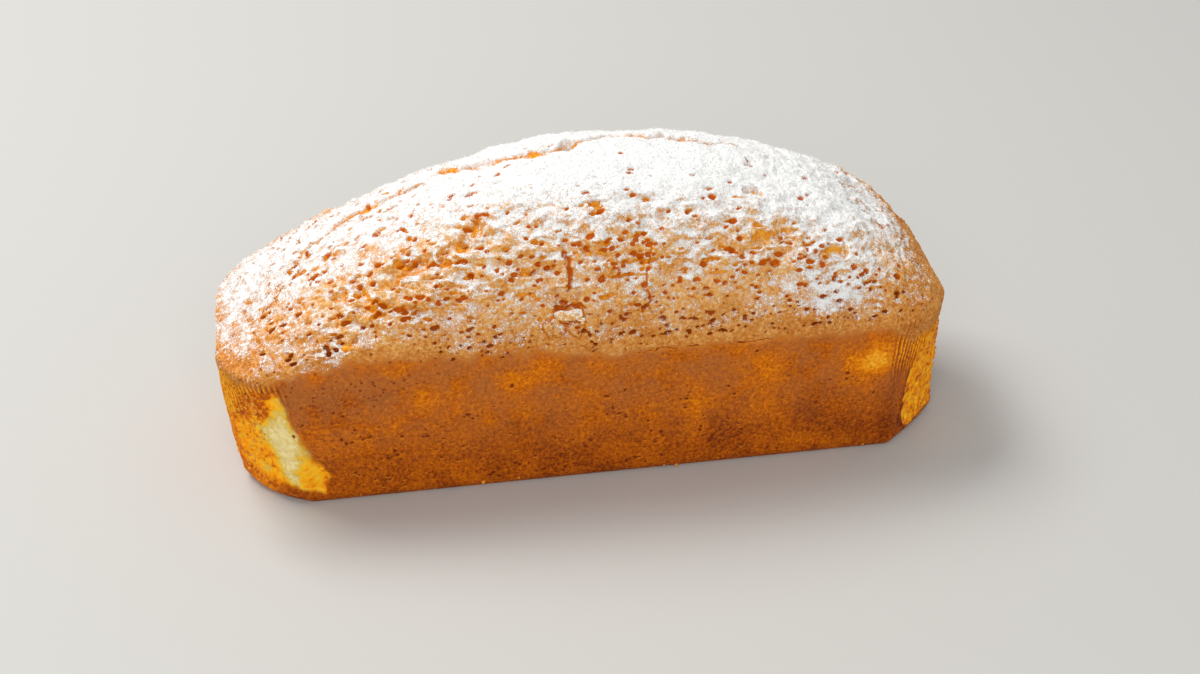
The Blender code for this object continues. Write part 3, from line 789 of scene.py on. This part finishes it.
# Icing sugar: where its grains lie for a given amount of dust, and their own relief.
sugar_texture, nodes, given = new_group("icing_dust", {"Place": VECTOR, "Dust": FLOAT}, ("Cover", "Grain"))
clumps = cloud(nodes, given["Place"], 3.0 * MM, 2.0, 0.6)
specks = cloud(nodes, given["Place"], 1.2 * MM, 1.0, 0.6)
powder = cloud(nodes, given["Place"], 0.5 * MM, 1.0)
uneven = times(nodes, clumps, 0.7, times(nodes, specks, 1.7))
uneven = times(nodes, powder, 2.9, uneven)
level = times(nodes, given["Dust"], 1.5, work(nodes, "SUBTRACT", uneven, 2.75))
some = spread(nodes, given["Dust"], 0.0, 0.1)
grain = times(nodes, specks, 0.6, times(nodes, powder, 0.4))
add(nodes, "NodeGroupOutput", {
    "Cover": times(nodes, spread(nodes, level, 0.50, 0.74), some),
    "Grain": grain})

# Linear colours, from the palest baking to the darkest.
WALL_TONES = (
    (0.0, (0.94, 0.46, 0.03)), (0.2, (0.86, 0.28, 0.004)), (0.4, (0.68, 0.17, 0.002)),
    (0.6, (0.49, 0.11, 0.002)), (0.8, (0.32, 0.060, 0.002)), (1.0, (0.15, 0.022, 0.002)),
)
DOME_TONES = (
    (0.2, (0.42, 0.11, 0.014)), (0.45, (0.60, 0.23, 0.04)), (0.6, (0.72, 0.35, 0.10)),
    (0.8, (0.86, 0.55, 0.24)),
)
TEAR_TONES = (
    (0.3, (0.42, 0.09, 0.006)), (0.47, (0.72, 0.24, 0.012)), (0.64, (0.88, 0.48, 0.06)),
)
TORN_TONES = (
    (0.1, (0.46, 0.09, 0.004)), (0.26, (0.93, 0.30, 0.004)), (0.5, (0.98, 0.50, 0.012)),
    (0.68, (0.74, 0.50, 0.075)), (1.0, (0.84, 0.70, 0.33)),
)
# Colours inside pores and holes: the crumb's own orange at their sides and high on the dome, and painted
# shade, dark brown, low on the dome and in the wall's pores.
HOLE_SIDE = (0.66, 0.20, 0.012, 1)
LOW_HOLE_SHADE = (0.21, 0.030, 0.003, 1)
HIGH_HOLE = (0.60, 0.125, 0.005, 1)
WALL_PIT_SHADE = (0.16, 0.02, 0.003, 1)
DULL_BROWN = (0.46, 0.165, 0.045, 1)
SUGAR_WHITE = (0.83, 0.82, 0.80, 1)
VEIL_SHARE = 0.48                   # how white its finest powder is, at most
CRUST_BUMP = {"Strength": 0.66, "Distance": 0.35 * MM}
BARE_ROUGHNESS, SUGAR_ROUGHNESS = 0.6, 0.95

crust, nodes, shader = new_material("baked_crust")
place = add(nodes, "ShaderNodeTexCoord").outputs["Object"]
finish = {name: attribute(nodes, name) for name in FINISHES}
crumb = add(nodes, "ShaderNodeGroup", {"Place": place, "Open": finish["pitted"]}, node_tree=crumb_texture)
blotch, mottle, pores = (crumb.outputs[name] for name in ("Blotch", "Mottle", "Pores"))

# The wall browned against the mould, duller towards the rim, and the dome in the oven's air.
uneven = times(nodes, blotch, 0.3, times(nodes, mottle, 1.5))
wall = tones(nodes, work(nodes, "ADD", finish["bake"], work(nodes, "SUBTRACT", uneven, 0.89)), WALL_TONES)
height = add(nodes, "ShaderNodeSeparateXYZ", {"Vector": place}).outputs["Z"]
dull = spread(nodes, height, 5 * MM, 50 * MM)
dull = times(nodes, dull, spread(nodes, blotch, 0.3, 0.6))
dull = times(nodes, dull, spread(nodes, finish["bake"], 0.4, 0.65))
wall = coat(nodes, times(nodes, dull, 0.5), wall, DULL_BROWN)
tan = times(nodes, mottle, 1.3, times(nodes, blotch, 0.4, -0.4))
tan = work(nodes, "ADD", tan, spread(nodes, height, 54 * MM, 74 * MM, 0.0, 0.14))
dome = tones(nodes, tan, DOME_TONES)
colour = coat(nodes, finish["risen"], wall, dome)

# Tears and torn corners show the softer crumb under the crust.
torn_tone = times(nodes, mottle, 0.7, times(nodes, blotch, 0.3))
tear = tones(nodes, torn_tone, TEAR_TONES)
frayed = times(nodes, mottle, 0.5, finish["fresh"])
colour = coat(nodes, spread(nodes, frayed, 0.45, 0.95), colour, tear)
bared = times(nodes, mottle, 0.7, work(nodes, "SUBTRACT", finish["cream"], 0.35))
frayed = times(nodes, mottle, 0.3, finish["torn"])
colour = coat(nodes, spread(nodes, frayed, 0.4, 0.95), colour, tones(nodes, bared, TORN_TONES))
# Painted shade: pores and holes are coloured dark inside, partly the crumb's own colour.
pores = times(nodes, pores, spread(nodes, finish["torn"], 0.0, 0.5, 1.0, 0.0))
pores = times(nodes, pores, spread(nodes, finish["pitted"], 0.0, 0.4, 0.42, 0.92))
hole_tone_and_shade = coat(nodes, spread(nodes, height, 54 * MM, 78 * MM), LOW_HOLE_SHADE, HIGH_HOLE)
colour = coat(nodes, pores, colour, coat(nodes, finish["risen"], WALL_PIT_SHADE, hole_tone_and_shade))
colour = coat(nodes, spread(nodes, finish["hollow_and_shade"], 0.12, 0.4), colour, HOLE_SIDE)
colour = coat(nodes, spread(nodes, finish["hollow_and_shade"], 0.35, 0.8, 0.0, 0.92), colour, hole_tone_and_shade)

# Icing sugar lies over all of it, as a thin veil and as grains.
sugar = add(nodes, "ShaderNodeGroup", {"Place": place, "Dust": finish["dust"]}, node_tree=sugar_texture)
cover, grain = sugar.outputs["Cover"], sugar.outputs["Grain"]
colour = coat(nodes, spread(nodes, finish["dust"], 0.08, 0.7, 0.0, VEIL_SHARE), colour, SUGAR_WHITE)
colour = coat(nodes, cover, colour, SUGAR_WHITE)
surface = times(nodes, pores, -0.8, times(nodes, mottle, 0.9))
surface = times(nodes, times(nodes, cover, grain), 2.2, surface)
bump = add(nodes, "ShaderNodeBump", {"Height": surface, **CRUST_BUMP})
rough = spread(nodes, cover, 0.0, 1.0, BARE_ROUGHNESS, SUGAR_ROUGHNESS)
fill(shader, {"Base Color": colour, "Roughness": rough, "Normal": bump.outputs["Normal"],
              "Specular IOR Level": 0.08})



def new_object(name, data):
    """An object for a mesh, light or camera, linked into the scene."""
    made = bpy.data.objects.new(name, data)
    bpy.context.collection.objects.link(made)
    return made


# Spare triangles go where the form is smooth, and the skin becomes one finished piece.
skin = new_object("loaf_skin", mesh)
thin = skin.modifiers.new("thin", "DECIMATE")
mesh.calc_loop_triangles()
thin.ratio = min(1.0, SKIN_TRIANGLES / len(mesh.loop_triangles))
thinned = skin.evaluated_get(bpy.context.evaluated_depsgraph_get())
loaf = new_object("loaf_cake", bpy.data.meshes.new_from_object(thinned))
bpy.data.objects.remove(skin)
loaf.data.materials.clear()
loaf.data.materials.append(crust)
loaf.data.shade_smooth()
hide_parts("cake")
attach(loaf, "root")


# ==== Icing sugar ====
# Fine sugar sifted over the baked loaf. Where it lies thick it is part of the skin's own
# finish, and over that lie its coarser grains, each a small crystal resting on the crust.

GRAIN_COUNT = 33000
GRAIN_RADIUS = (0.1 * MM, 0.19 * MM, 0.34 * MM)         # smallest, usual and largest
GRAIN_SCATTER = 0.16 * MM
GRAIN_SHADOW, GRAIN_WHITE = (0.76, 0.75, 0.73, 1), (0.90, 0.89, 0.87, 1)

draw = np.random.default_rng(71)
share = spot_area * np.clip(dust - 0.03, 0, 0.7) * (1 + 0.6 * lumps(points, 3 * MM, 72))
share *= np.clip(1 - hollow_and_shade, 0, 1) * (1 - 0.85 * np.clip(fresh, 0, 1)) * (z > 50 * MM)
chosen = draw.choice(len(points), GRAIN_COUNT, p=share / share.sum())
radius = draw.triangular(*GRAIN_RADIUS, GRAIN_COUNT)
middles = moved[chosen] + draw.normal(0, GRAIN_SCATTER, (GRAIN_COUNT, 3))
middles += final_normals[chosen] * (0.35 * radius)[:, None]

# A crystal is two low pyramids base to base, turned and stretched at random.
angle = np.arange(3) * 2 * math.pi / 3
crystal = np.array([(math.cos(a), math.sin(a), 0) for a in angle] + [(0, 0, 0.9), (0, 0, -0.9)])
crystal_faces = np.array([(0, 1, 3), (1, 2, 3), (2, 0, 3), (1, 0, 4), (2, 1, 4), (0, 2, 4)])
turns = np.linalg.qr(draw.normal(size=(GRAIN_COUNT, 3, 3)))[0]
sizes = radius[:, None] * draw.uniform(0.75, 1.25, (GRAIN_COUNT, 3))
corners = middles[:, None] + (crystal * sizes[:, None]) @ turns
faces = crystal_faces + 5 * np.arange(GRAIN_COUNT)[:, None, None]
flipped = np.linalg.det(turns) < 0
faces[flipped] = faces[flipped][:, :, ::-1]
grain_mesh = bpy.data.meshes.new("icing_sugar")
grain_mesh.from_pydata(corners.reshape(-1, 3), [], faces.reshape(-1, 3).tolist())
grains = new_object("icing_sugar", grain_mesh)

icing, nodes, shader = new_material("icing_grains")
place = add(nodes, "ShaderNodeTexCoord").outputs["Object"]
sugar = add(nodes, "ShaderNodeGroup", {"Place": place, "Dust": 1.0}, node_tree=sugar_texture)
white = coat(nodes, sugar.outputs["Grain"], GRAIN_SHADOW, GRAIN_WHITE)
fill(shader, {"Base Color": white, "Roughness": 0.7, "Specular IOR Level": 0.2})
grain_mesh.materials.append(icing)
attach(grains, "root")


# ==== Crumbs ====
# Loose crumbs cling to the torn corners and the foot of the loaf, and a flake of crust and a chip
# beside it hang on the front under the short crack. They are baked crumb like the loaf itself.

CRUMB_COUNT = 170
CRUMB_RADIUS = (0.2 * MM, 0.35 * MM, 0.85 * MM)         # smallest, usual and largest
# Places (x, z) of the flakes on the front, and their half widths and half heights.
FLAKE_PLACES = ((-10.5, 69, 3.6, 2.4), (-6.4, 66.6, 1.3, 1.1))
FLAKE_THICKNESS = 0.75 * MM


def unit_ball(divisions):
    """Points and triangles of a ball of radius 1."""
    ball = bmesh.new()
    bmesh.ops.create_icosphere(ball, subdivisions=divisions, radius=1)
    places = np.array([vert.co for vert in ball.verts])
    triangles = np.array([[vert.index for vert in face.verts] for face in ball.faces])
    ball.free()
    return places, triangles


draw = np.random.default_rng(81)
around = -x - CORNER_START["left"] + y + CORNER_FRONT
in_rough_crumb = torn * ramp(16, 30, around) * (x < 0)
in_rough_crumb *= 1 + 1.5 * ramp(26, 34, z)
at_foot = (z < 2.5 * MM) * (z > 0.8 * MM)
share = spot_area * (in_rough_crumb + 0.4 * torn * (x > 0) + 0.12 * at_foot)
chosen = draw.choice(len(points), CRUMB_COUNT, p=share / share.sum())
radius = draw.triangular(*CRUMB_RADIUS, CRUMB_COUNT)
settings = [(place, size, size, size, 0) for place, size in zip(chosen, radius)]
off_front = np.where(y < -20 * MM, 0.0, 1.0)
for place_x, place_z, half_wide, half_high in FLAKE_PLACES:
    gap = np.hypot(x - place_x * MM, z - place_z * MM) + off_front
    settings.append((np.argmin(gap), half_wide * MM, half_high * MM, FLAKE_THICKNESS, 1))

crumb_points, crumb_faces, crumb_dust, crumb_tan = [], [], [], []
total = 0
balls = (unit_ball(2), unit_ball(4))
for number, (centre, wide, high, thick, tan_share) in enumerate(settings):
    ball_points, ball_faces = balls[tan_share]
    out = final_normals[centre]
    side = np.cross((0, 0, 1), out)
    side /= np.linalg.norm(side) + 1e-9
    spot = ball_points + 3.7 * number
    swell = 1 + 0.55 * lumps(spot, 0.75, 82) + tan_share * 0.22 * lumps(spot, 0.25, 83)
    form = ball_points * swell[:, None] * np.array([wide, thick, high]) * draw.uniform(0.75, 1.25, 3)
    placed = form[:, :1] * side + form[:, 1:2] * out + form[:, 2:] * np.cross(out, side)
    placed += moved[centre] + (0.1 + 0.6 * tan_share) * thick * out
    placed[:, 2] = np.maximum(placed[:, 2], 0)
    crumb_faces.append(ball_faces + total)
    crumb_points.append(placed)
    crumb_dust.append(np.full(len(placed), 0.45 * tan_share))
    crumb_tan.append(np.full(len(placed), tan_share))
    total += len(placed)
crumb_mesh = bpy.data.meshes.new("crumbs")
crumb_mesh.from_pydata(np.vstack(crumb_points), [], np.vstack(crumb_faces).tolist())
for name, values in (("dust", crumb_dust), ("risen", crumb_tan)):
    store(crumb_mesh, name, np.concatenate(values))
crumb_mesh.shade_smooth()
crumbs = new_object("crumbs", crumb_mesh)

CRUMB_TONES = (
    (0.3, (0.52, 0.14, 0.008)), (0.5, (0.76, 0.29, 0.025)), (0.68, (0.86, 0.48, 0.11)),
)
CRUMB_BUMP = {"Strength": 0.7, "Distance": 0.3 * MM}
crumbly, nodes, shader = new_material("loose_crumb")
place = add(nodes, "ShaderNodeTexCoord").outputs["Object"]
upward = add(nodes, "ShaderNodeSeparateXYZ", {
    "Vector": add(nodes, "ShaderNodeNewGeometry").outputs["Normal"]}).outputs["Z"]
lying = times(nodes, attribute(nodes, "dust"), spread(nodes, upward, -0.1, 0.8, 0.5, 1.2))
crumb = add(nodes, "ShaderNodeGroup", {"Place": place}, node_tree=crumb_texture)
sugar = add(nodes, "ShaderNodeGroup", {"Place": place, "Dust": lying}, node_tree=sugar_texture)
value = times(nodes, crumb.outputs["Blotch"], 0.4)
value = times(nodes, crumb.outputs["Mottle"], 0.6, value)
colour = tones(nodes, value, CRUMB_TONES)
tan = tones(nodes, times(nodes, crumb.outputs["Mottle"], 1.2, 0.1), DOME_TONES)
colour = coat(nodes, attribute(nodes, "risen"), colour, tan)
# Painted shade in the crumbs' pores.
colour = coat(nodes, times(nodes, crumb.outputs["Pores"], 0.5), colour, LOW_HOLE_SHADE)
colour = coat(nodes, sugar.outputs["Cover"], colour, SUGAR_WHITE)
bump = add(nodes, "ShaderNodeBump", {"Height": crumb.outputs["Mottle"], **CRUMB_BUMP})
fill(shader, {"Base Color": colour, "Roughness": 0.75, "Normal": bump.outputs["Normal"],
              "Specular IOR Level": 0.12})
crumb_mesh.materials.append(crumbly)
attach(crumbs, "root")


# ==== Studio ====
# A plain pale table under a large soft window light from behind on the left, as the cake was
# photographed, with a weak fill from the front.

FLOOR_SIZE = 5.0
TABLE_COLOUR = (0.50, 0.487, 0.46, 1)
SKY_COLOUR, SKY_STRENGTH = (0.97, 0.99, 1.0, 1), 0.55
# Name, place, width and height, and watts; both are aimed at the loaf.
LIGHTS = (
    ("window", (-0.67, 0.6, 1.35), (0.9, 0.7), 21.5),
    ("fill", (-0.25, -1.45, 1.0), (1.2, 0.8), 12),
)
LIGHTS_AIM = (0, 0, 0.05)

bpy.ops.mesh.primitive_plane_add(size=FLOOR_SIZE)
floor = bpy.context.object
floor.name = "table_top"
paint, _, shader = new_material("pale_table")
fill(shader, {"Base Color": TABLE_COLOUR, "Roughness": 0.7})
floor.data.materials.append(paint)
floor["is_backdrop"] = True

world = bpy.data.worlds.new("studio")
bpy.context.scene.world = world
world.use_nodes = True
fill(world.node_tree.nodes["Background"], {"Color": SKY_COLOUR, "Strength": SKY_STRENGTH})


def soft_light(name, place, size, watts):
    lamp = bpy.data.lights.new(name, "AREA")
    lamp.shape = "RECTANGLE"
    lamp.size, lamp.size_y = size
    lamp.energy = watts
    holder = new_object(name, lamp)
    holder.location = place
    holder.rotation_euler = (Vector(LIGHTS_AIM) - Vector(place)).to_track_quat("-Z", "Y").to_euler()


for light in LIGHTS:
    soft_light(*light)

# The camera looks down from the front, a little from the left, with a long lens.
SENSOR, LENS = 36, 63
CAMERA_DISTANCE, CAMERA_RISE, CAMERA_TURN = 0.7993, math.radians(33), math.radians(9.7)
VIEW_X, VIEW_Y = 7 * MM + MIDDLE_SHIFT, 49.3 * MM

camera = new_object("camera", bpy.data.cameras.new("camera"))
camera.data.sensor_width, camera.data.lens = SENSOR, LENS
camera.data.clip_start = 0.01
turn = Matrix.Rotation(-CAMERA_TURN, 3, "Z")
back, up = CAMERA_DISTANCE * math.cos(CAMERA_RISE), CAMERA_DISTANCE * math.sin(CAMERA_RISE)
camera.location = turn @ Vector((VIEW_X, VIEW_Y - back, up))
target = turn @ Vector((VIEW_X, VIEW_Y, 0))
camera.rotation_euler = (target - camera.location).to_track_quat("-Z", "Y").to_euler()
bpy.context.scene.camera = camera
bpy.context.scene.view_settings.view_transform = "Standard"

sizes = {"cad_box": [list(corner) for corner in cad_box],
         "visual_box": [list(corner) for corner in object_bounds()]}
